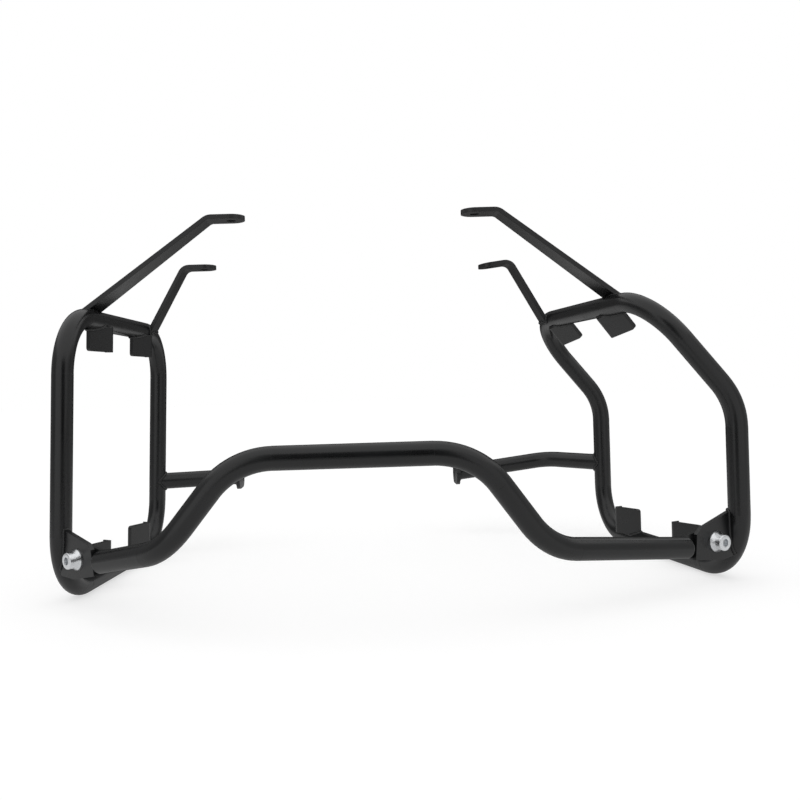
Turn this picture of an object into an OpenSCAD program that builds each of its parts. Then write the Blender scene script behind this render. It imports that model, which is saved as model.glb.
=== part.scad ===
// Side case rack of a motorcycle: two closed tube hoops joined behind the bike by a bent cross
// tube, with four flat arms and two lower struts that reach in to the subframe.
// X points to the bike's right, Y forwards and Z up. The rack stands on the lower rails of its
// hoops, and the origin is under the middle of its bounding box.

/* [Tube] */
// Outer diameter of every tube
tube_od = 18; // [16:0.5:20]
// Wall of every tube
tube_wall = 2; // [1.5:0.25:3]
// How much the tubes and bars shrink on each side in their bends
bend_thin = 0.05; // [0.03:0.01:0.08]

/* [Hoops] */
// Length of a hoop from its rear leg to its front leg, between the tubes' axes
hoop_len = 260; // [240:1:280]
// Height of a hoop between the axes of its lower and upper rails
hoop_h = 235; // [220:1:250]
// Bend radius at the hoops' corners, on the tube's axis
hoop_r = 50; // [44:1:56]
// Diameter of the drain hole under each hoop
drain_d = 4; // [3:0.5:6]

/* [Left hoop] */
// Distance of the left hoop's lower rear corner from the middle of the bike
left_x = 249; // [240:1:260]
// How far the left hoop's front end toes in
left_toe = 21.5; // [10:0.5:30]
// How far the left hoop's upper rail leans in
left_lean = 9.5; // [0:0.5:16]

/* [Right hoop] */
// Distance of the right hoop's lower rear corner from the middle of the bike
right_x = 322.5; // [310:0.5:335]
// How far the right hoop's front end toes in
right_toe = 43; // [30:0.5:50]
// Height of the knee in the right hoop's legs
knee_z = 145; // [138:1:150]
// How far the right hoop's upper rail leans in from the knee, to clear the silencer below
right_lean = 73; // [64:1:80]
// Bend radius at the right hoop's knees
knee_r = 60; // [52:1:66]

/* [Cross tube] */
// Half of the cross tube's upper width, between its bends
cross_half = 87; // [80:0.5:92]
// How far the upper part stands behind the rear legs
cross_back = 108.5; // [100:0.5:116]
// Height of the upper part over the lower rails
cross_z = 117; // [110:0.5:125]
// Bend radius at the upper bends
cross_r = 60; // [50:1:64]
// Sideways place of the left lower bend
left_bend_x = 140; // [134:0.5:146]
// How far the left lower bend stands behind the rear legs
left_bend_back = 101; // [95:0.5:106]
// Height of the left lower bend
left_bend_z = 51.5; // [46:0.5:56]
// Bend radius at the left lower bend
left_bend_r = 47; // [42:1:52]
// Sideways place of the right lower bend
right_bend_x = 143; // [138:0.5:148]
// How far the right lower bend stands behind the rear legs
right_bend_back = 86.5; // [80:0.5:92]
// Height of the right lower bend
right_bend_z = 41.5; // [36:0.5:46]
// Bend radius at the right lower bend
right_bend_r = 60; // [52:1:64]
// Sideways distance of the cross tube's left end from the left rear leg
left_end_in = 47.5; // [45:0.5:50]
// Sideways distance of the cross tube's right end from the right rear leg
right_end_in = 54.5; // [52:0.5:56.5]
// How far the left end stands behind the rear leg
left_end_back = 43; // [41:0.5:45]
// How far the right end stands behind the rear leg
right_end_back = 22; // [20:0.5:24]
// Height of the cross tube's left end
left_end_z = 35; // [33:0.5:37]
// Height of the cross tube's right end
right_end_z = 27; // [25:0.5:29]

/* [Corner plates] */
// Thickness of the lugs and the corner plates
plate_t = 4; // [3:0.5:5]
// Distance from the cross tube's end to its bolt
bolt_reach = 33.5; // [31:0.5:35]
// Height of a bolt over its tube's axis
bolt_rise = 5.5; // [3:0.5:8]
// Width of a lug across its round end
lug_w = 26; // [24:1:30]
// Length of a corner plate past its bolt, towards the middle
corner_in = 23; // [20:0.5:25]
// Height of a corner plate over its bolt, at its inner end
corner_up = 11; // [10:0.5:14]
// Rise of a corner plate's upper edge towards the leg, in degrees
corner_slope = 24; // [18:1:28]
// Height of a corner plate below its bolt
corner_down = 15.5; // [13:0.5:17]
// Nominal diameter of the bolts
bolt_d = 8; // [6:1:10]
// Clearance on the bolt's diameter in each hole
bolt_gap = 0.5; // [0.3:0.1:1]

/* [Arms] */
// Thickness of the flat bar of the arms
arm_t = 4; // [3:0.5:5]
// Width of a rear arm at its foot
rear_foot_w = 38; // [32:1:42]
// Width of every arm at its tip
arm_tip_w = 25; // [22:1:28]
// Width of a front arm at its foot
front_foot_w = 27; // [25:1:32]
// Distance of the rear arms' rear edges from the rear legs
rear_arm_y = 54; // [50:1:60]
// Distance of the front arms' rear edges from the front legs
front_arm_gap = 60; // [54:1:70]
// Bend radius on the inside of the arms' bends
arm_r = 8; // [5:1:12]
// Diameter of the holes in the arms' tips
arm_hole_d = 8.5; // [6.5:0.5:10.5]
// Height of the rear arms' undersides over the lower rails' axes
rear_tip_z = 322; // [312:0.5:330]
// Height of the left front arm's underside
left_front_tip_z = 299.5; // [292:0.5:306]
// Height of the right front arm's underside
right_front_tip_z = 296; // [290:0.5:302]
// Sideways place of the left rear arm's bend
left_rear_bend_x = 126; // [120:0.5:132]
// Sideways place of the right rear arm's bend
right_rear_bend_x = 135; // [129:0.5:141]
// Sideways place of the left front arm's bend
left_front_bend_x = 176; // [172:0.5:180]
// Sideways place of the right front arm's bend
right_front_bend_x = 170; // [166:0.5:174]
// Length of an arm's end, from its bend to the tip
arm_tip_len = 32; // [28:0.5:38]
// How far the right front arm's end droops, in degrees
right_front_droop = 7; // [0:1:10]

/* [Struts] */
// Height of the left strut's foot on the front leg
left_strut_z = 69.5; // [62:0.5:76]
// Height of the right strut's foot on the front leg
right_strut_z = 75; // [68:0.5:82]
// Sideways place of the left strut's inner end
left_strut_x = 139; // [134:0.5:144]
// How far the left strut's inner end stands in front of the front leg
left_strut_ahead = 30; // [20:1:40]
// Sideways place of the right strut's bend
right_strut_bend_x = 227; // [220:0.5:232]
// How far the right strut's bend stands in front of the front leg
right_bend_ahead = 51.5; // [45:0.5:58]
// Height of the right strut's bend
right_strut_bend_z = 77; // [72:0.5:82]
// Bend radius of the right strut
right_strut_r = 46; // [40:1:52]
// Sideways place of the right strut's inner end
right_strut_x = 124; // [118:0.5:130]
// How far the right strut's inner end stands in front of the front leg
right_strut_ahead = 69; // [62:1:76]
// Height of the right strut's inner end
right_strut_end_z = 62.5; // [58:0.5:68]
// Width of the eyes on the struts' ends
eye_w = 24; // [22:1:28]
// Distance of an eye's hole in front of its tube's axis
eye_reach = 22; // [20:0.5:26]
// Drop of an eye's middle below its tube's axis
eye_drop = 2.5; // [0:0.5:4]
// Thickness of the eyes
eye_t = 4; // [3:0.5:5]
// Diameter of the holes in the eyes
eye_hole_d = 8.5; // [6.5:0.5:10.5]

/* [Case tabs] */
// Length of a tab along its rail
tab_len = 36; // [30:1:40]
// Height of an upper tab from its rail
top_tab_h = 19; // [16:0.5:24]
// Height of a lower tab from its rail
bottom_tab_h = 23.5; // [20:0.5:28]
// Thickness of a tab
tab_t = 4; // [3:0.5:5]
// Distance of a tab's middle from the nearer leg's axis
tab_place = 73; // [70:1:80]
// How far a tab's middle stands towards the bike from its rail's axis
tab_in = 5; // [2:0.5:6]
// The same for the right lower tabs
right_tab_in = 8; // [4:0.5:9]
// How far a tab turns from its rail, in degrees
tab_turn = 18; // [12:1:20]
// Length of a tab's folded flange
tab_flange = 9; // [8:0.5:12]
// Radius of the free corners of a tab
tab_corner_r = 3; // [1:0.5:5]

/* [Hidden] */

$fn = 48;
powder_black = "#26272a";
zinc = "#c9ccd0";
tube_r = tube_od / 2;
bore_r = tube_r - tube_wall;
// How far an arm's inner face passes from its rail's axis, so that the bar saddles the tube
over_seat = tube_r - 1.2;
side_seat = tube_r - 0.5;
// How far a straight run reaches into the bend after it
run_on = 0.5;
// How much smaller a strut's radius is than the leg's
strut_thin = 0.05;
// Height over a rail's axis at which its tabs start, beside the tube
tab_root = tube_r * 0.55;
// Outer radius of a tab's fold
tab_fold_r = tab_t + 1.5;
bolt_hole_d = bolt_d + bolt_gap;

function unit(v) = v / norm(v);
function flip(v) = [-v[0], v[1], v[2]];

// Corner points of the hoops, on the tubes' axes
function left_at(y, z) = [-left_x + left_toe * y / hoop_len + left_lean * z / hoop_h, y, z];
function right_at(y, z) = [right_x - right_toe * y / hoop_len
    - right_lean * max(0, z - knee_z) / (hoop_h - knee_z), y, z];
left_path = [left_at(0, 0), left_at(0, hoop_h), left_at(hoop_len, hoop_h), left_at(hoop_len, 0)];
right_path = [right_at(0, 0), right_at(0, knee_z), right_at(0, hoop_h),
    right_at(hoop_len, hoop_h), right_at(hoop_len, knee_z), right_at(hoop_len, 0)];
left_bends = [hoop_r, hoop_r, hoop_r, hoop_r];
right_bends = [hoop_r, knee_r, hoop_r, hoop_r, knee_r, hoop_r];

// Corner points of the cross tube
cross_path = [[left_end_in - left_x, -left_end_back, left_end_z],
    [-left_bend_x, -left_bend_back, left_bend_z],
    [-cross_half, -cross_back, cross_z],
    [cross_half, -cross_back, cross_z],
    [right_bend_x, -right_bend_back, right_bend_z],
    [right_x - right_end_in, -right_end_back, right_end_z]];
cross_bends = [0, left_bend_r, cross_r, cross_r, right_bend_r, 0];
left_out = unit(cross_path[0] - cross_path[1]);
right_out = unit(cross_path[5] - cross_path[4]);
function upright(d) = unit([0, 0, 1] - d * d[2]);
left_hole_at = cross_path[0] + left_out * bolt_reach + upright(left_out) * bolt_rise;
right_hole_at = cross_path[5] + right_out * bolt_reach + upright(right_out) * bolt_rise;

// Corner points of the struts
left_strut_path = [left_at(hoop_len, left_strut_z),
    [-left_strut_x, hoop_len + left_strut_ahead, left_strut_z]];
right_strut_path = [right_at(hoop_len, right_strut_z),
    [right_strut_bend_x, hoop_len + right_bend_ahead, right_strut_bend_z],
    [right_strut_x, hoop_len + right_strut_ahead, right_strut_end_z]];

// Bolt pieces
head_d = bolt_d * 1.6;
flange_d = bolt_d * 2.1;
flange_t = bolt_d * 0.2;
hex_socket = bolt_d * 0.75;
nut_af = bolt_d * 1.6;
nut_h = bolt_d;
bolt_past = bolt_d * 0.5;

// The model's place: its box stands centred over the origin
left_tilt = [left_toe / hoop_len, left_lean / hoop_h];
box_left = left_x + tube_r - hoop_r * (left_tilt[0] + left_tilt[1] - norm(left_tilt));
box_right = right_x + tube_r;
box_back = cross_back + tube_r;
box_front = hoop_len + right_strut_ahead + eye_reach + eye_w / 2;
origin_shift = [(box_left - box_right) / 2, (box_back - box_front) / 2, tube_r];

// Puts the local axes x, y and z at a point: a rigid move
module frame_at(p, x, y, z) {
    multmatrix([[x[0], y[0], z[0], p[0]], [x[1], y[1], z[1], p[1]], [x[2], y[2], z[2], p[2]], [0, 0, 0, 1]])
        children();
}

// Stands the local z axis along d, with the local x axis level
module along(p, d) {
    z = unit(d);
    side = abs(z[2]) > 0.99 ? [1, 0, 0] : unit(cross(z, [0, 0, 1]));
    y = cross(z, side);
    frame_at(p, cross(y, z), y, z) children();
}

// Where the straight run meets the bend at corner b between a and c
function turn_of(a, b, c) = acos(max(-1, min(1, unit(b - a) * unit(c - b))));
function setback(a, b, c, r) = r * tan(turn_of(a, b, c) / 2);

// One bend of a rod of radius s, with bend radius r
module bend(a, b, c, r, s) {
    d1 = unit(b - a);
    d2 = unit(c - b);
    n = unit(cross(d1, d2));
    start = b - d1 * setback(a, b, c, r);
    centre = start + cross(n, d1) * r;
    frame_at(centre, cross(d1, n), d1, n)
        rotate_extrude(angle = turn_of(a, b, c), $fn = 96) translate([r, 0]) circle(s - bend_thin);
}

module straight(a, b, s) {
    along(a, b - a) cylinder(r = s, h = norm(b - a));
}

// A bent rod of radius s through the corner points p, open at both ends
module open_rod(p, r, s) {
    last = len(p) - 1;
    for (i = [1:last]) {
        d = unit(p[i] - p[i - 1]);
        from = i == 1 ? 0 : setback(p[i - 2], p[i - 1], p[i], r[i - 1]) - run_on;
        to = i == last ? 0 : setback(p[i - 1], p[i], p[i + 1], r[i]) - run_on;
        straight(p[i - 1] + d * from, p[i] - d * to, s);
        if (i < last) bend(p[i - 1], p[i], p[i + 1], r[i], s);
    }
}

// The same rod closed on itself
module closed_rod(p, r, s) {
    n = len(p);
    for (i = [0:n - 1]) {
        a = p[i];
        b = p[(i + 1) % n];
        c = p[(i + 2) % n];
        before = p[(i + n - 1) % n];
        d = unit(b - a);
        from = setback(before, a, b, r[i]) - run_on;
        to = setback(a, b, c, r[(i + 1) % n]) - run_on;
        straight(a + d * from, b - d * to, s);
        bend(a, b, c, r[(i + 1) % n], s);
    }
}

// A hoop: a closed tube with a drain hole under the middle of its lower rail
module hoop(p, r, low) {
    difference() {
        closed_rod(p, r, tube_r);
        closed_rod(p, r, bore_r);
        translate(low - [0, 0, tube_od]) cylinder(d = drain_d, h = tube_od);
    }
}

module left_hoop() {
    color(powder_black) hoop(left_path, left_bends, left_at(hoop_len / 2, 0));
}

module right_hoop() {
    color(powder_black) hoop(right_path, right_bends, right_at(hoop_len / 2, 0));
}

module cross_tube() {
    color(powder_black) difference() {
        open_rod(cross_path, cross_bends, tube_r);
        open_rod(cross_path, cross_bends, bore_r);
    }
}

// Stands children at a bolted corner of the left side: x outwards, y up in the lug, z to the front
module at_left_corner(hole, out) {
    front = unit(cross(out, [0, 0, 1]));
    frame_at(hole, out, cross(front, out), front) children();
}

// The same on either side, mirrored on the right
module at_corner(hole, out) {
    if (out[0] < 0) at_left_corner(hole, out) children();
    else mirror([1, 0, 0]) at_left_corner(flip(hole), flip(out)) children();
}

// Lug welded across the front of the cross tube's end, with a round eye for the bolt
module cross_lug(hole, out) {
    at_corner(hole, out) translate([0, 0, plate_t / 2]) difference() {
        linear_extrude(plate_t) union() {
            circle(d = lug_w);
            polygon([[-bolt_reach, -bolt_rise - tube_r], [0, -lug_w / 2], [0, lug_w / 2],
                [-bolt_reach, -bolt_rise + tube_r]]);
        }
        translate([0, 0, -1]) cylinder(d = bolt_hole_d, h = plate_t + 2);
    }
}

module left_cross_lug() {
    color(powder_black) cross_lug(left_hole_at, left_out);
}

module right_cross_lug() {
    color(powder_black) cross_lug(right_hole_at, right_out);
}

// Plate welded to a hoop's rear leg and bend, behind the lug, with its inner top corner cut off
module corner_plate(hole, out, leg, path, bends) {
    far = (leg - hole) * out;
    cut = corner_in - 5;
    difference() {
        at_corner(hole, out) translate([0, 0, -plate_t / 2]) difference() {
            linear_extrude(plate_t) polygon([[-corner_in, -corner_down], [tube_r, -corner_down],
                [far, -corner_down * 0.7], [far, corner_up + (far + cut) * tan(corner_slope)],
                [-cut, corner_up], [-corner_in, corner_up / 2]]);
            translate([0, 0, -1]) cylinder(d = bolt_hole_d, h = plate_t + 2);
        }
        closed_rod(path, bends, tube_r);
    }
}

module left_corner_plate() {
    color(powder_black) corner_plate(left_hole_at, left_out, left_at(0, left_hole_at[2]),
        left_path, left_bends);
}

module right_corner_plate() {
    color(powder_black) corner_plate(right_hole_at, right_out, right_at(0, right_hole_at[2]),
        right_path, right_bends);
}

// Flange bolt with a socket head, seated on the corner plate's rear face
module bolt(hole, out) {
    grip = 2 * plate_t;
    at_corner(hole, out) translate([0, 0, -plate_t / 2]) difference() {
        union() {
            translate([0, 0, -flange_t]) cylinder(d = flange_d, h = flange_t);
            translate([0, 0, -bolt_d]) cylinder(d = head_d, h = bolt_d);
            cylinder(d = bolt_d, h = grip + nut_h + bolt_past);
        }
        translate([0, 0, -bolt_d - 1]) cylinder(d = hex_socket / cos(30), h = bolt_d / 2 + 1, $fn = 6);
    }
}

module left_bolt() {
    color(zinc) bolt(left_hole_at, left_out);
}

module right_bolt() {
    color(zinc) bolt(right_hole_at, right_out);
}

// Nut seated on the lug's front face
module nut(hole, out) {
    at_corner(hole, out) translate([0, 0, plate_t * 1.5]) difference() {
        cylinder(d = nut_af / cos(30), h = nut_h, $fn = 6);
        translate([0, 0, -1]) cylinder(d = bolt_d, h = nut_h + 2);
    }
}

module left_nut() {
    color(zinc) nut(left_hole_at, left_out);
}

module right_nut() {
    color(zinc) nut(right_hole_at, right_out);
}

// Side view of a bent flat bar: foot f, bend b and tip e lie on its underside
module bent_bar_side(f, b, e, r, t) {
    d1 = unit(b - f);
    d2 = unit(e - b);
    n1 = [-d1[1], d1[0]];
    n2 = [-d2[1], d2[0]];
    back_off = r * tan(acos(d1 * d2) / 2);
    s1 = b - d1 * back_off;
    s2 = b + d2 * back_off;
    c = s1 - n1 * r;
    far = 2 * (r + t);
    past1 = s1 + d1 * run_on;
    past2 = s2 - d2 * run_on;
    polygon([f, past1, past1 + n1 * t, f + n1 * t]);
    polygon([past2, e, e + n2 * t, past2 + n2 * t]);
    intersection() {
        difference() {
            translate(c) circle(r + t - bend_thin, $fn = 64);
            translate(c) circle(r + bend_thin, $fn = 64);
        }
        polygon([c, c + n1 * far, c + (n1 + n2) * far, c + n2 * far]);
    }
}

// Angle of a line that meets point b and passes point a at distance q, on its upper or lower side
function passing_angle(a, b, q, over) =
    atan2(b[1] - a[1], b[0] - a[0]) + (over ? -1 : 1) * asin(q / norm(b - a));

// An arm as on the left side, where inwards is +X. rail is the rail's axis in side view
module arm(rail, over, seat, bend_x, tip_z, droop, rear, foot_w) {
    b = [bend_x, tip_z];
    heading = passing_angle(rail, b, seat, over);
    side = [cos(heading), sin(heading)];
    foot = b - side * ((b - rail) * side + (over ? tube_r * 0.7 : 0));
    tip_dir = [cos(droop), -sin(droop)];
    tip = b + tip_dir * arm_tip_len;
    eye = tip - tip_dir * arm_tip_w / 2;
    tall = 2 * (tip_z - rail[1] + tube_od);
    difference() {
        intersection() {
            translate([0, rear + foot_w, 0]) rotate([90, 0, 0])
                linear_extrude(foot_w) bent_bar_side(foot, b, tip, arm_r, arm_t);
            translate([0, rear, rail[1] - tall / 2]) linear_extrude(tall) union() {
                polygon([[foot[0] - arm_t, 0], [eye[0], 0], [eye[0], arm_tip_w], [bend_x, arm_tip_w],
                    [foot[0] - arm_t, foot_w]]);
                translate([eye[0], arm_tip_w / 2]) circle(d = arm_tip_w);
            }
        }
        translate([eye[0], rear + arm_tip_w / 2, eye[1]]) rotate([0, droop, 0])
            translate([0, 0, -arm_t]) cylinder(d = arm_hole_d, h = 3 * arm_t);
    }
}

front_arm_y = hoop_len - front_arm_gap;

// Side views of the upper rails' axes under the middle of each arm's foot
rear_foot_y = rear_arm_y + rear_foot_w / 2;
front_foot_y = front_arm_y + front_foot_w / 2;
function in_side_view(p) = [-abs(p[0]), p[2]];

module left_rear_arm() {
    color(powder_black) difference() {
        arm(in_side_view(left_at(rear_foot_y, hoop_h)), true, over_seat,
            -left_rear_bend_x, rear_tip_z, 0, rear_arm_y, rear_foot_w);
        closed_rod(left_path, left_bends, tube_r);
    }
}

module right_rear_arm() {
    color(powder_black) difference() {
        mirror([1, 0, 0]) arm(in_side_view(right_at(rear_foot_y, hoop_h)), true, over_seat,
            -right_rear_bend_x, rear_tip_z, 0, rear_arm_y, rear_foot_w);
        closed_rod(right_path, right_bends, tube_r);
    }
}

module left_front_arm() {
    color(powder_black) difference() {
        arm(in_side_view(left_at(front_foot_y, hoop_h)), false, side_seat,
            -left_front_bend_x, left_front_tip_z, 0, front_arm_y, front_foot_w);
        closed_rod(left_path, left_bends, tube_r);
    }
}

module right_front_arm() {
    color(powder_black) difference() {
        mirror([1, 0, 0]) arm(in_side_view(right_at(front_foot_y, hoop_h)), false, side_seat,
            -right_front_bend_x, right_front_tip_z, right_front_droop, front_arm_y, front_foot_w);
        closed_rod(right_path, right_bends, tube_r);
    }
}

// A strut from a front leg to its eye's outer face, coped to the leg, which runs from low to high.
// It is a touch thinner than the leg, so that the cope closes before the leg's widest line
module strut(p, bends, low, high) {
    last = len(p) - 1;
    rod_r = tube_r - strut_thin;
    past = tube_od * 1.5;
    d = unit(p[last] - p[last - 1]);
    longer = [for (i = [0:last]) i == last ? p[i] + d * tube_r : p[i]];
    side = p[last][0] > 0 ? 1 : -1;
    difference() {
        open_rod(longer, bends, rod_r);
        open_rod(longer, bends, bore_r);
        straight(low, high, tube_r);
        translate([p[last][0] - side * past / 2, p[last][1], p[last][2]]) cube(past, center = true);
    }
}

module left_strut() {
    color(powder_black) strut(left_strut_path, [0, 0], left_path[3], left_path[2]);
}

module right_strut() {
    color(powder_black) strut(right_strut_path, [0, right_strut_r, 0], right_path[5], right_path[4]);
}

// Eye plate welded across a strut's inner end, with its hole in front of the tube
module strut_eye(at) {
    side = at[0] > 0 ? 1 : -1;
    translate([at[0] - side * eye_t / 2, at[1], at[2] - eye_drop]) rotate([90, 0, 90])
        translate([0, 0, -eye_t / 2]) difference() {
            linear_extrude(eye_t) union() {
                circle(d = eye_w);
                translate([0, -eye_w / 2]) square([eye_reach, eye_w]);
                translate([eye_reach, 0]) circle(d = eye_w);
            }
            translate([eye_reach, 0, -1]) cylinder(d = eye_hole_d, h = eye_t + 2);
        }
}

module left_strut_eye() {
    color(powder_black) strut_eye(left_strut_path[1]);
}

module right_strut_eye() {
    color(powder_black) strut_eye(right_strut_path[2]);
}

// Plan of a case tab: a flat face with a flange folded outwards at its front end
module tab_plan() {
    c = [tab_len / 2 - tab_fold_r, tab_fold_r - tab_t / 2];
    translate([-tab_len / 2, -tab_t / 2]) square([tab_len - tab_fold_r, tab_t]);
    translate([tab_len / 2 - tab_t, c[1]]) square([tab_t, tab_flange - tab_fold_r]);
    intersection() {
        translate(c) difference() {
            circle(tab_fold_r);
            circle(tab_fold_r - tab_t);
        }
        translate([c[0], c[1] - tab_fold_r]) square(tab_fold_r);
    }
}

// Outline of a tab's face, with its two free corners rounded
module tab_face(high) {
    round_at = tab_len / 2 - tab_corner_r;
    translate([-tab_len / 2, 0]) square([tab_len, high - tab_corner_r]);
    translate([-round_at, 0]) square([2 * round_at, high]);
    for (x = [-round_at, round_at]) translate([x, high - tab_corner_r]) circle(tab_corner_r);
}

// A tab at distance place along the rail from a to b, as on the left side.
// inside points into the hoop, and sense is 1 on a lower rail and -1 on an upper one
module case_tab(a, b, inside, place, sense, h, in) {
    e1 = unit(b - a);
    e3 = unit(inside - e1 * (inside * e1));
    high = tube_r + h - tab_root;
    difference() {
        frame_at(a + e1 * place, e1, cross(e3, e1), e3)
            translate([0, -sense * in, tab_root]) rotate([0, 0, -sense * tab_turn])
                mirror([0, sense < 0 ? 1 : 0, 0]) intersection() {
                    linear_extrude(high) tab_plan();
                    translate([0, tab_len, 0]) rotate([90, 0, 0])
                        linear_extrude(2 * tab_len) tab_face(high);
                }
        straight(a, b, tube_r);
    }
}

// A tab of a hoop on its lower or upper rail, which runs from rear to front. next is the corner
// that the rear leg leads to from there
module rail_tab(rear, front, next, top, at_front, in = tab_in) {
    case_tab(rear, front, next - rear, at_front ? norm(front - rear) - tab_place : tab_place,
        top ? -1 : 1, top ? top_tab_h : bottom_tab_h, in);
}

module left_tab(top, at_front) {
    color(powder_black)
        if (top) rail_tab(left_path[1], left_path[2], left_path[0], true, at_front);
        else rail_tab(left_path[0], left_path[3], left_path[1], false, at_front);
}

module right_tab(top, at_front) {
    color(powder_black) mirror([1, 0, 0])
        if (top) rail_tab(flip(right_path[2]), flip(right_path[3]), flip(right_path[1]), true, at_front);
        else rail_tab(flip(right_path[0]), flip(right_path[5]), flip(right_path[1]), false, at_front,
            right_tab_in);
}

translate(origin_shift) {
    left_hoop();
    right_hoop();
    cross_tube();
    left_cross_lug();
    right_cross_lug();
    left_corner_plate();
    right_corner_plate();
    left_bolt();
    right_bolt();
    left_nut();
    right_nut();
    left_rear_arm();
    right_rear_arm();
    left_front_arm();
    right_front_arm();
    left_strut();
    right_strut();
    left_strut_eye();
    right_strut_eye();
    left_tab(true, false);  // left_top_rear_tab
    left_tab(true, true);  // left_top_front_tab
    left_tab(false, false);  // left_bottom_rear_tab
    left_tab(false, true);  // left_bottom_front_tab
    right_tab(true, false);  // right_top_rear_tab
    right_tab(true, true);  // right_top_front_tab
    right_tab(false, false);  // right_bottom_rear_tab
    right_tab(false, true);  // right_bottom_front_tab
}
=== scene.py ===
import math
import random
import bpy
from mathutils import Matrix, Vector
from mathutils.bvhtree import BVHTree


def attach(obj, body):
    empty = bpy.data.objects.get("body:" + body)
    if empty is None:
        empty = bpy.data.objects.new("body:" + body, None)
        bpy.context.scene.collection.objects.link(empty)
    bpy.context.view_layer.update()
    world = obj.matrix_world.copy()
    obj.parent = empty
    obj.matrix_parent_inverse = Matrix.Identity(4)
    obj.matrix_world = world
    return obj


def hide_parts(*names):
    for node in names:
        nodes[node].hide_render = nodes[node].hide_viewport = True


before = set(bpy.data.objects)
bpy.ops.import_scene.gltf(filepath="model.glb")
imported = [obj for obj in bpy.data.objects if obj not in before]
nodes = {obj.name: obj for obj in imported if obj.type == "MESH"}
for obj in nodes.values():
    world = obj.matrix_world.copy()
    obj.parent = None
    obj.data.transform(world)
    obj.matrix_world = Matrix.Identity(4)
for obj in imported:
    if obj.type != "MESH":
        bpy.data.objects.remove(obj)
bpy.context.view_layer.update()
mm = 0.001
hair = 0.01 * mm  # heights closer than this count as one
print("frame loaded,", len(nodes), "nodes")


def linearColour(code):
    # sRGB hex to the linear values that a shader takes
    parts = [int(code[i:i + 2], 16) / 255 for i in (1, 3, 5)]
    return [p / 12.92 if p <= 0.04045 else ((p + 0.055) / 1.055) ** 2.4 for p in parts] + [1.0]


def addNode(owner, kind, settings=None, inputs=None, links=None):
    # one node, with its settings, its inputs' values and the sockets that feed it
    node = owner.node_tree.nodes.new(kind)
    for name, value in (settings or {}).items():
        setattr(node, name, value)
    for name, value in (inputs or {}).items():
        node.inputs[name].default_value = value
    for name, source in (links or {}).items():
        owner.node_tree.links.new(source, node.inputs[name])
    return node


def newMaterial(name):
    material = bpy.data.materials.new(name)
    material.use_nodes = True
    material.node_tree.nodes.clear()
    return material


def roughnessFrom(material, noise, span):
    # a noise mostly stays between 0.3 and 0.7, which is spread over the span
    node = addNode(material, "ShaderNodeMapRange",
                   inputs={"From Min": 0.3, "From Max": 0.7, "To Min": span[0], "To Max": span[1]},
                   links={"Value": noise.outputs["Fac"]})
    return node.outputs["Result"]


# ---- finishes

powder = {
    "colour": "#0d0d0e",
    "worn": "#141516",
    "roughness": (0.24, 0.32),
    "cloudSize": 30 * mm,  # slow changes of tone and gloss
    "peelSize": 1.4 * mm,
    "peelDepth": 0.03 * mm,
    "peelStrength": 0.5,
    "edge": 0.5 * mm,  # how far the edges look rounded
    "ior": 1.48,
    "specular": (0.5, 0.0),  # seen straight on, and at the rims
    "slant": (0.42, 0.9),  # where the fall from one to the other starts and ends
}


def powderCoat():
    # Satin black polyester powder coat, sprayed and baked on steel: an even, slightly soft
    # gloss with a fine orange peel, and edges that round off and catch the light
    material = newMaterial("powderCoatSatinBlack")
    place = addNode(material, "ShaderNodeTexCoord").outputs["Object"]
    peel = addNode(material, "ShaderNodeTexNoise",
                   inputs={"Scale": 1 / powder["peelSize"], "Detail": 2.0, "Roughness": 0.5},
                   links={"Vector": place})
    cloud = addNode(material, "ShaderNodeTexNoise",
                    inputs={"Scale": 1 / powder["cloudSize"], "Detail": 3.0},
                    links={"Vector": place})
    tint = addNode(material, "ShaderNodeMix", settings={"data_type": "RGBA"},
                   links={"Factor": cloud.outputs["Fac"]})
    tint.inputs[6].default_value = linearColour(powder["colour"])
    tint.inputs[7].default_value = linearColour(powder["worn"])
    edge = addNode(material, "ShaderNodeBevel", settings={"samples": 6},
                   inputs={"Radius": powder["edge"]})
    bump = addNode(material, "ShaderNodeBump",
                   inputs={"Strength": powder["peelStrength"], "Distance": powder["peelDepth"]},
                   links={"Height": peel.outputs["Fac"], "Normal": edge.outputs["Normal"]})
    # the fine texture scatters light at a slant, so that the coat's rims stay dark
    slant = addNode(material, "ShaderNodeLayerWeight", inputs={"Blend": 0.5})
    rims = addNode(material, "ShaderNodeMapRange",
                   inputs={"From Min": powder["slant"][0], "From Max": powder["slant"][1],
                           "To Min": powder["specular"][0], "To Max": powder["specular"][1]},
                   links={"Value": slant.outputs["Facing"]})
    shader = addNode(material, "ShaderNodeBsdfPrincipled", inputs={"IOR": powder["ior"]},
                     links={"Base Color": tint.outputs[2],
                            "Roughness": roughnessFrom(material, cloud, powder["roughness"]),
                            "Specular IOR Level": rims.outputs["Result"],
                            "Normal": bump.outputs["Normal"]})
    addNode(material, "ShaderNodeOutputMaterial", links={"Surface": shader.outputs["BSDF"]})
    return material


zinc = {
    "colour": "#e6e8ea",
    "roughness": (0.22, 0.36),
    "grain": 0.8 * mm,
    "grainDepth": 0.008 * mm,
    "grainStrength": 0.4,
}


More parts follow.
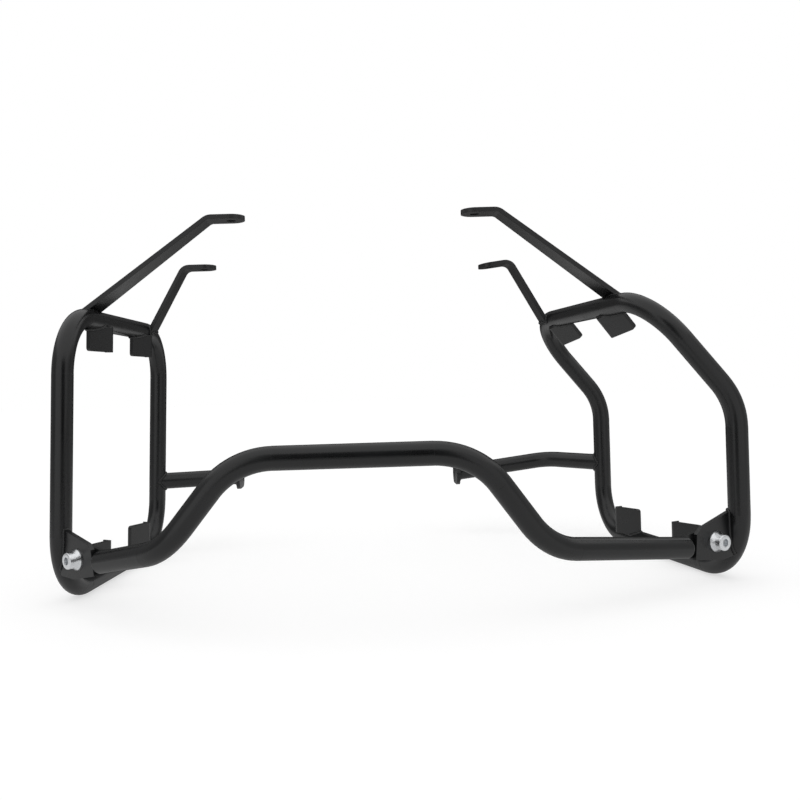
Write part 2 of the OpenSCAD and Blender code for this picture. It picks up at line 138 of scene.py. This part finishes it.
def zincPlate():
    # Clear zinc plating on a cold-headed steel bolt: bright and cool, with a faintly
    # clouded shine that the plating bath leaves
    material = newMaterial("zincPlateBright")
    place = addNode(material, "ShaderNodeTexCoord").outputs["Object"]
    grain = addNode(material, "ShaderNodeTexNoise",
                    inputs={"Scale": 1 / zinc["grain"], "Detail": 2.0}, links={"Vector": place})
    bump = addNode(material, "ShaderNodeBump",
                   inputs={"Strength": zinc["grainStrength"], "Distance": zinc["grainDepth"]},
                   links={"Height": grain.outputs["Fac"]})
    shader = addNode(material, "ShaderNodeBsdfPrincipled",
                     inputs={"Base Color": linearColour(zinc["colour"]), "Metallic": 1.0},
                     links={"Roughness": roughnessFrom(material, grain, zinc["roughness"]),
                            "Normal": bump.outputs["Normal"]})
    addNode(material, "ShaderNodeOutputMaterial", links={"Surface": shader.outputs["BSDF"]})
    return material


powderMaterial = powderCoat()
zincMaterial = zincPlate()
for name, node in nodes.items():
    node.data.materials.clear()
    plated = name.endswith(("_bolt", "_nut"))
    node.data.materials.append(zincMaterial if plated else powderMaterial)
print("finishes made")


# ---- helpers for modelling

def selectOnly(piece):
    if bpy.context.object and bpy.context.object.mode != "OBJECT":
        bpy.ops.object.mode_set(mode="OBJECT")
    bpy.ops.object.select_all(action="DESELECT")
    piece.select_set(True)
    bpy.context.view_layer.objects.active = piece


def pickEdges(piece, test):
    # selects the edges whose two ends pass the test, and leaves the piece in edit mode
    selectOnly(piece)
    bpy.ops.object.mode_set(mode="EDIT")
    bpy.ops.mesh.select_mode(type="EDGE")
    bpy.ops.mesh.select_all(action="DESELECT")
    bpy.ops.object.mode_set(mode="OBJECT")
    points = piece.data.vertices
    for edge in piece.data.edges:
        edge.select = all(test(points[i].co) for i in edge.vertices)
    bpy.ops.object.mode_set(mode="EDIT")


def bevelEdges(piece, test, offset, segments):
    pickEdges(piece, test)
    bpy.ops.mesh.bevel(offset=offset, segments=segments, affect="EDGES")
    bpy.ops.object.mode_set(mode="OBJECT")


def pickFlat(piece, height):
    # selects the level face at that height, and leaves the piece in edit mode
    selectOnly(piece)
    bpy.ops.object.mode_set(mode="EDIT")
    bpy.ops.mesh.select_mode(type="FACE")
    bpy.ops.mesh.select_all(action="DESELECT")
    bpy.ops.object.mode_set(mode="OBJECT")
    for face in piece.data.polygons:
        face.select = abs(face.center.z - height) < hair and abs(face.normal.z) > 0.9
    bpy.ops.object.mode_set(mode="EDIT")


def cylinder(name, radius, low, high, sides=64):
    bpy.ops.object.select_all(action="DESELECT")
    bpy.ops.mesh.primitive_cylinder_add(vertices=sides, radius=radius, depth=high - low,
                                        location=(0, 0, (low + high) / 2))
    piece = bpy.context.object
    piece.name = name
    bpy.ops.object.transform_apply(location=True, rotation=True, scale=True)
    return piece


def hexCorner(across):
    # from the middle of a hexagon to its corners
    return across / 2 / math.cos(math.radians(30))


def combine(piece, tool, operation):
    modifier = piece.modifiers.new("combine", "BOOLEAN")
    modifier.operation = operation
    modifier.object = tool
    modifier.solver = "EXACT"
    selectOnly(piece)
    bpy.ops.object.modifier_apply(modifier=modifier.name)
    bpy.data.objects.remove(tool)


def finishPiece(piece, material, angle=35):
    piece.data.materials.clear()
    piece.data.materials.append(material)
    selectOnly(piece)
    bpy.ops.object.shade_smooth_by_angle(angle=math.radians(angle))
    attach(piece, "root")


# ---- bolts and nuts at the corner joints: z points to the rack's front, from the flange's seat

bolt = {
    "thread": 8 * mm, "pitch": 1.25 * mm,
    "flankDeep": 0.61,  # in pitches
    "headAcross": 13.4 * mm, "headHigh": 9.5 * mm, "headRound": 1.1 * mm,
    "flangeAcross": 17.6 * mm, "flangeThick": 4.6 * mm, "rim": 1.2 * mm, "rimRound": 0.4 * mm,
    "socket": 6 * mm, "socketDeep": 4 * mm, "socketRound": 0.25 * mm,
    "sunk": 0.2 * mm,  # how far one form runs into the next
    "slack": 0.05 * mm,  # keeps the shank clear of the nut's bore and the core inside the thread
    "past": 4 * mm, "tipChamfer": 0.4 * mm,  # where the thread stands out of the nut
}
hexNut = {"across": 12.8 * mm, "high": 8 * mm, "chamfer": 0.7 * mm}
plateThick = 4 * mm  # of the corner plate and of the lug
nutSeat = 2 * plateThick
nutEnd = nutSeat + hexNut["high"]


def makeBolt():
    top = -bolt["headHigh"]
    head = cylinder("flangeBolt", bolt["headAcross"] / 2, top, -bolt["sunk"])
    bevelEdges(head, lambda p: p.z < top + hair, bolt["headRound"], 4)
    flange = cylinder("flange", bolt["flangeAcross"] / 2, -bolt["rim"], 0)
    pickFlat(flange, -bolt["rim"])
    cone = (0, 0, bolt["rim"] - bolt["flangeThick"])
    bpy.ops.mesh.extrude_region_move(TRANSFORM_OT_translate={"value": cone})
    narrow = (bolt["headAcross"] - bolt["sunk"]) / bolt["flangeAcross"]
    bpy.ops.transform.resize(value=(narrow, narrow, 1))
    bpy.ops.object.mode_set(mode="OBJECT")
    bevelEdges(flange, lambda p: abs(p.z + bolt["rim"]) < hair, bolt["rimRound"], 3)
    combine(head, flange, "UNION")
    corner = hexCorner(bolt["socket"])
    socket = cylinder("socket", corner, top - mm, top + bolt["socketDeep"], 6)
    combine(head, socket, "DIFFERENCE")
    bevelEdges(head, lambda p: abs(p.z - top) < hair and p.xy.length < corner + 10 * hair,
               bolt["socketRound"], 2)
    shank = cylinder("shank", bolt["thread"] / 2 - bolt["slack"], -bolt["sunk"], nutEnd)
    combine(head, shank, "UNION")
    return head


def makeThread():
    # Meant as the turns that stand out of the nut, one pitch of the flank screwed round the axis.
    # Fault: only the core comes out. In edge mode the merged point isn't selected, so that the
    # flank isn't drawn.
    pitch, end = bolt["pitch"], nutEnd + bolt["past"]
    crest = bolt["thread"] / 2
    root = crest - bolt["flankDeep"] * pitch
    flank = [(0, 0.06), (crest - root, 0.4), (0, 0.14), (root - crest, 0.4)]  # out, up in pitches
    bpy.ops.object.select_all(action="DESELECT")
    bpy.ops.mesh.primitive_plane_add(size=pitch, location=(0, 0, 0))
    thread = bpy.context.object
    thread.name = "boltThread"
    bpy.ops.object.mode_set(mode="EDIT")
    bpy.ops.mesh.select_all(action="SELECT")
    bpy.ops.mesh.merge(type="CENTER")
    bpy.ops.transform.translate(value=(root, 0, nutEnd - pitch))
    for out, up in flank:
        bpy.ops.mesh.extrude_region_move(TRANSFORM_OT_translate={"value": (out, 0, up * pitch)})
    bpy.ops.object.mode_set(mode="OBJECT")
    screw = thread.modifiers.new("turns", "SCREW")
    screw.axis = "Z"
    screw.screw_offset = pitch
    screw.iterations = math.ceil(bolt["past"] / pitch)
    screw.steps = screw.render_steps = 32
    screw.use_merge_vertices = True
    screw.merge_threshold = hair
    selectOnly(thread)
    bpy.ops.object.modifier_apply(modifier=screw.name)
    core = cylinder("core", root + bolt["slack"], nutEnd - mm, end)
    bevelEdges(core, lambda p: p.z > end - hair, bolt["tipChamfer"], 1)
    selectOnly(thread)
    core.select_set(True)
    bpy.ops.object.join()
    return thread


def makeNut():
    # Meant as a hexagon whose corners are turned off at both ends. Fault: the intersection leaves
    # one face, as the bevel's test also takes the turned piece's upright edges.
    corner = hexCorner(hexNut["across"])
    nut = cylinder("hexNut", corner, nutSeat, nutEnd, 6)
    turned = cylinder("turned", corner, nutSeat, nutEnd, 96)
    bevelEdges(turned, lambda p: p.z > nutEnd - hair or p.z < nutSeat + hair,
               hexNut["chamfer"], 1)
    combine(nut, turned, "INTERSECT")
    combine(nut, cylinder("bore", bolt["thread"] / 2, nutSeat - mm, nutEnd + mm), "DIFFERENCE")
    return nut


# the joints' axes follow from the cross tube's ends, as in the solids
corners = {
    "left": {"end": (-201.5, -43, 35), "bend": (-140, -101, 51.5)},  # along the tube's middle
    "right": {"end": (268, -22, 27), "bend": (143, -86.5, 41.5)},
    "shift": (-37.5268, -122.75, 9.0),  # middles the rack over the frame and sets it on z = 0
    "reach": 33.5 * mm, "rise": 5.5 * mm,  # from the tube's end to the bolt
}


def crossEnd(side):
    # the middle of the cross tube's end, and the way that the tube points there
    end = (Vector(corners[side]["end"]) + Vector(corners["shift"])) * mm
    bend = (Vector(corners[side]["bend"]) + Vector(corners["shift"])) * mm
    return end, (end - bend).normalized()


def cornerPlace(side):
    end, out = crossEnd(side)
    up = (Vector((0, 0, 1)) - out * out.z).normalized()
    front = out.cross(Vector((0, 0, 1))).normalized()
    if front.y < 0:
        front.negate()
    hole = end + out * corners["reach"] + up * corners["rise"]
    place = Matrix((up.cross(front), up, front)).transposed().to_4x4()
    place.translation = hole - front * plateThick / 2
    return place


def placeCopies(source, kind, replacesNode=None):
    for side in ("left", "right"):
        piece = source.copy()
        piece.data = source.data.copy()
        piece.name = side + kind
        bpy.context.collection.objects.link(piece)
        piece.data.transform(cornerPlace(side))
        finishPiece(piece, zincMaterial)
        if replacesNode:
            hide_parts(side + replacesNode)
    bpy.data.objects.remove(source)


placeCopies(makeBolt(), "FlangeBolt", "_bolt")
placeCopies(makeThread(), "BoltThread")
placeCopies(makeNut(), "HexNut", "_nut")
print("bolts and nuts made")


# ---- weld beads, along the seams where one piece sits on another

bead = {
    "radius": 1.5 * mm,
    "step": 0.7 * mm,
    "ripple": 1.9 * mm, "swell": 0.16, "uneven": 0.06, "seed": 7,
    "near": 0.22 * mm,  # a corner of the mesh this close to the carrier is in the weld
    "faceNear": 0.37 * mm, "facing": 0.7,  # and a face also has to lie along it
    "shortest": 3 * mm,
    "share": 0.2,  # of the longest line, below which a line is no seam
    "strutShare": 0.85,  # higher, as a strut's bore also has a line round it
}
seams = []
for side in ("left", "right"):
    hoop = side + "_hoop"
    seams += [(side + "_rear_arm", hoop), (side + "_front_arm", hoop)]
    seams += [(side + "_corner_plate", hoop)]
    seams += [(side + "_strut", hoop), (side + "_strut", side + "_strut_eye")]
    for rail in ("top", "bottom"):
        seams += [(f"{side}_{rail}_rear_tab", hoop), (f"{side}_{rail}_front_tab", hoop)]


def seamCurve(nodeName, carrierName):
    # a merged copy of the node, stripped to the edges round its contact with the carrier
    carrier = nodes[carrierName].data
    tree = BVHTree.FromPolygons([v.co for v in carrier.vertices],
                                [p.vertices for p in carrier.polygons])
    copy = nodes[nodeName].copy()
    copy.data = nodes[nodeName].data.copy()
    bpy.context.collection.objects.link(copy)
    copy.parent = None
    selectOnly(copy)
    bpy.ops.object.mode_set(mode="EDIT")
    bpy.ops.mesh.select_all(action="SELECT")
    bpy.ops.mesh.remove_doubles(threshold=hair / 2)
    bpy.ops.object.mode_set(mode="OBJECT")
    data = copy.data
    close = [tree.find_nearest(v.co)[3] < bead["near"] for v in data.vertices]
    touching = {}  # for each edge, whether the faces beside it are in contact
    for face in data.polygons:
        touches = all(close[i] for i in face.vertices)
        if touches:
            spot, normal, index, gap = tree.find_nearest(face.center)
            touches = gap < bead["faceNear"] and abs(normal.dot(face.normal)) > bead["facing"]
        for key in face.edge_keys:
            touching.setdefault(key, []).append(touches)
    for vertex in data.vertices:
        vertex.select = False
    for face in data.polygons:
        face.select = False
    for edge in data.edges:
        beside = touching.get(tuple(sorted(edge.vertices)), [])
        edge.select = not (len(beside) == 2 and beside[0] != beside[1])
    bpy.ops.object.mode_set(mode="EDIT")
    bpy.ops.mesh.select_mode(type="EDGE")
    bpy.ops.mesh.delete(type="EDGE")
    bpy.ops.object.mode_set(mode="OBJECT")
    bpy.ops.object.convert(target="CURVE")
    return bpy.context.object


def lineLength(points):
    return sum((b - a).length for a, b in zip(points, points[1:]))


def evenPoints(points, closed, step):
    # points at an even spacing along a line
    line = points + [points[0]] if closed else points
    total = lineLength(line)
    count = max(4, round(total / step))
    found, walked, target = [], 0.0, 0.0
    for a, b in zip(line, line[1:]):
        length = (b - a).length
        while length > 0 and target <= walked + length and len(found) < count:
            found.append(a.lerp(b, (target - walked) / length))
            target += total / count
        walked += length
    return found


def makeBead(nodeName, carrierName):
    curve = seamCurve(nodeName, carrierName)
    lines = [([p.co.xyz for p in s.points], s.use_cyclic_u) for s in curve.data.splines]
    longest = max(lineLength(points) for points, closed in lines)
    share = bead["strutShare"] if nodeName.endswith("strut") else bead["share"]
    rng = random.Random(bead["seed"])
    data = bpy.data.curves.new(nodeName + "_weld", "CURVE")
    data.dimensions = "3D"
    data.bevel_depth = bead["radius"]
    data.bevel_resolution = 3
    data.use_fill_caps = True
    for points, closed in lines:
        if lineLength(points) < max(share * longest, bead["shortest"]):
            continue
        spots = evenPoints(points, closed, bead["step"])
        spline = data.splines.new("POLY")
        spline.points.add(len(spots) - 1)
        spline.use_cyclic_u = closed
        for i, spot in enumerate(spots):
            wave = math.sin(2 * math.pi * i * bead["step"] / bead["ripple"])
            odd = rng.uniform(-bead["uneven"], bead["uneven"])
            spline.points[i].co = (*spot, 1)
            spline.points[i].radius = 1 + bead["swell"] * wave + odd
    bpy.data.objects.remove(curve)
    piece = bpy.data.objects.new(f"{nodeName}_to_{carrierName}_weld", data)
    bpy.context.collection.objects.link(piece)
    selectOnly(piece)
    bpy.ops.object.convert(target="MESH")
    finishPiece(bpy.context.object, powderMaterial, 60)


for nodeName, carrierName in seams:
    makeBead(nodeName, carrierName)
print("weld beads made")


# ---- the cross tube's open ends are closed by a domed fill of weld round the lugs

endFill = {"radius": 8.8 * mm, "dome": 4.5 * mm, "inside": 1.5 * mm}


def makeEndFill(side):
    end, out = crossEnd(side)
    bpy.ops.object.select_all(action="DESELECT")
    bpy.ops.mesh.primitive_uv_sphere_add(segments=48, ring_count=24, radius=endFill["radius"])
    fill = bpy.context.object
    fill.name = side + "CrossEndFill"
    bpy.ops.object.mode_set(mode="EDIT")
    bpy.ops.mesh.select_all(action="SELECT")
    bpy.ops.transform.resize(value=(1, 1, endFill["dome"] / endFill["radius"]))
    bpy.ops.mesh.bisect(plane_co=(0, 0, -endFill["inside"]), plane_no=(0, 0, 1),
                        use_fill=True, clear_inner=True)
    bpy.ops.object.mode_set(mode="OBJECT")
    turn = out.to_track_quat("Z", "Y").to_matrix().to_4x4()
    fill.data.transform(Matrix.Translation(end) @ turn)
    finishPiece(fill, powderMaterial, 60)


makeEndFill("left")
makeEndFill("right")
print("tube ends filled")


# ---- studio: pale floor, white surroundings, a soft lamp and the camera of the photo

studio = {
    "floorColour": "#b4b4b4", "floorSize": 40.0,
    "lift": 0.6, "glossLift": 0.3,  # added to the floor for the camera, and in the gloss
    "ambient": 0.55,
    "sunStrength": 1.5, "sunAngle": 110, "sunTurn": (38, 0, -20),
}
# name: middle, width, height, turn about z, brightness in the gloss
cards = {
    "cardFront": ((-0.02, -0.62, 0.22), 0.38, 0.44, 0, 0.01),
    "cardFrontLeft": ((-0.63, -0.62, 0.25), 0.84, 0.5, 0, 0.9),
    "cardFrontRight": ((0.59, -0.62, 0.25), 0.84, 0.5, 0, 0.75),
    "cardLeft": ((-0.95, 0.1, 0.30), 1.6, 0.6, 90, 0.3),
    "cardRight": ((0.95, 0.1, 0.30), 1.6, 0.6, 90, 0.45),
    "cardBack": ((0.0, 0.95, 0.45), 2.2, 0.9, 0, 0.15),
}


def makeFloor():
    bpy.ops.object.select_all(action="DESELECT")
    bpy.ops.mesh.primitive_plane_add(size=studio["floorSize"], location=(0, 0, 0))
    floor = bpy.context.object
    floor.name = "studioFloor"
    material = newMaterial("floorPaperWhite")
    seen = addNode(material, "ShaderNodeLightPath")
    inGloss = addNode(material, "ShaderNodeMath", settings={"operation": "MULTIPLY"},
                      inputs={1: studio["glossLift"]}, links={0: seen.outputs["Is Glossy Ray"]})
    lift = addNode(material, "ShaderNodeMath", settings={"operation": "MULTIPLY_ADD"},
                   inputs={1: studio["lift"]},
                   links={0: seen.outputs["Is Camera Ray"], 2: inGloss.outputs[0]})
    glow = addNode(material, "ShaderNodeEmission", inputs={"Color": (1, 1, 1, 1)},
                   links={"Strength": lift.outputs[0]})
    paper = addNode(material, "ShaderNodeBsdfDiffuse",
                    inputs={"Color": linearColour(studio["floorColour"])})
    both = addNode(material, "ShaderNodeAddShader",
                   links={0: glow.outputs["Emission"], 1: paper.outputs["BSDF"]})
    addNode(material, "ShaderNodeOutputMaterial", links={"Surface": both.outputs[0]})
    floor.data.materials.append(material)


def makeCards():
    # grey cards round the rack, seen only in its gloss: they draw the dark lines on the tubes
    for name, (middle, width, height, turn, level) in cards.items():
        bpy.ops.object.select_all(action="DESELECT")
        bpy.ops.mesh.primitive_plane_add(size=1, location=middle,
                                         rotation=(math.radians(90), 0, math.radians(turn)))
        card = bpy.context.object
        card.name = name
        card.scale = (width, height, 1)
        material = newMaterial(name + "Cloth")
        cloth = addNode(material, "ShaderNodeEmission",
                        inputs={"Color": (1, 1, 1, 1), "Strength": level})
        addNode(material, "ShaderNodeOutputMaterial", links={"Surface": cloth.outputs["Emission"]})
        card.data.materials.append(material)
        card.visible_camera = False
        card.visible_shadow = False
        card.visible_diffuse = False


def makeWorld():
    # white where it is seen, in the gloss or through something, and dimmer as a light
    world = bpy.data.worlds.new("studioWhite")
    bpy.context.scene.world = world
    world.use_nodes = True
    world.node_tree.nodes.clear()
    seen = addNode(world, "ShaderNodeLightPath")
    first = addNode(world, "ShaderNodeMath", settings={"operation": "MAXIMUM"},
                    links={0: seen.outputs["Is Camera Ray"], 1: seen.outputs["Is Glossy Ray"]})
    shown = addNode(world, "ShaderNodeMath", settings={"operation": "MAXIMUM"},
                    links={0: first.outputs[0], 1: seen.outputs["Is Transmission Ray"]})
    level = addNode(world, "ShaderNodeMapRange",
                    inputs={"To Min": studio["ambient"], "To Max": 1.0},
                    links={"Value": shown.outputs[0]})
    sky = addNode(world, "ShaderNodeBackground", inputs={"Color": (1, 1, 1, 1)},
                  links={"Strength": level.outputs["Result"]})
    addNode(world, "ShaderNodeOutputWorld", links={"Surface": sky.outputs["Background"]})


def makeLamp():
    bpy.ops.object.light_add(type="SUN", location=(0.5, -1.0, 2.0),
                             rotation=[math.radians(a) for a in studio["sunTurn"]])
    lamp = bpy.context.object
    lamp.name = "softSun"
    lamp.data.energy = studio["sunStrength"]
    lamp.data.angle = math.radians(studio["sunAngle"])
    lamp.visible_glossy = False


photoCamera = {
    "place": (-34.0 * mm, -863.48 * mm, 170.0 * mm),
    "right": (0.99940, -0.01634, -0.03052), "up": (0.03056, 0.00203, 0.99953),
    "forward": (0.01627, 0.99986, -0.00253),
    "lens": 39.79, "sensor": 36, "shift": (0.0352, -0.0052),
}


def makeCamera():
    c = photoCamera
    data = bpy.data.cameras.new("photoCamera")
    data.lens = c["lens"]
    data.sensor_width = c["sensor"]
    data.shift_x, data.shift_y = c["shift"]
    data.clip_start, data.clip_end = 0.01, 100
    camera = bpy.data.objects.new("photoCamera", data)
    bpy.context.collection.objects.link(camera)
    turn = Matrix((c["right"], c["up"], [-f for f in c["forward"]])).transposed()
    camera.matrix_world = Matrix.Translation(c["place"]) @ turn.to_4x4()
    bpy.context.scene.camera = camera


makeFloor()
makeCards()
makeWorld()
makeLamp()
makeCamera()
bpy.context.scene.view_settings.view_transform = "Standard"
print("studio made")
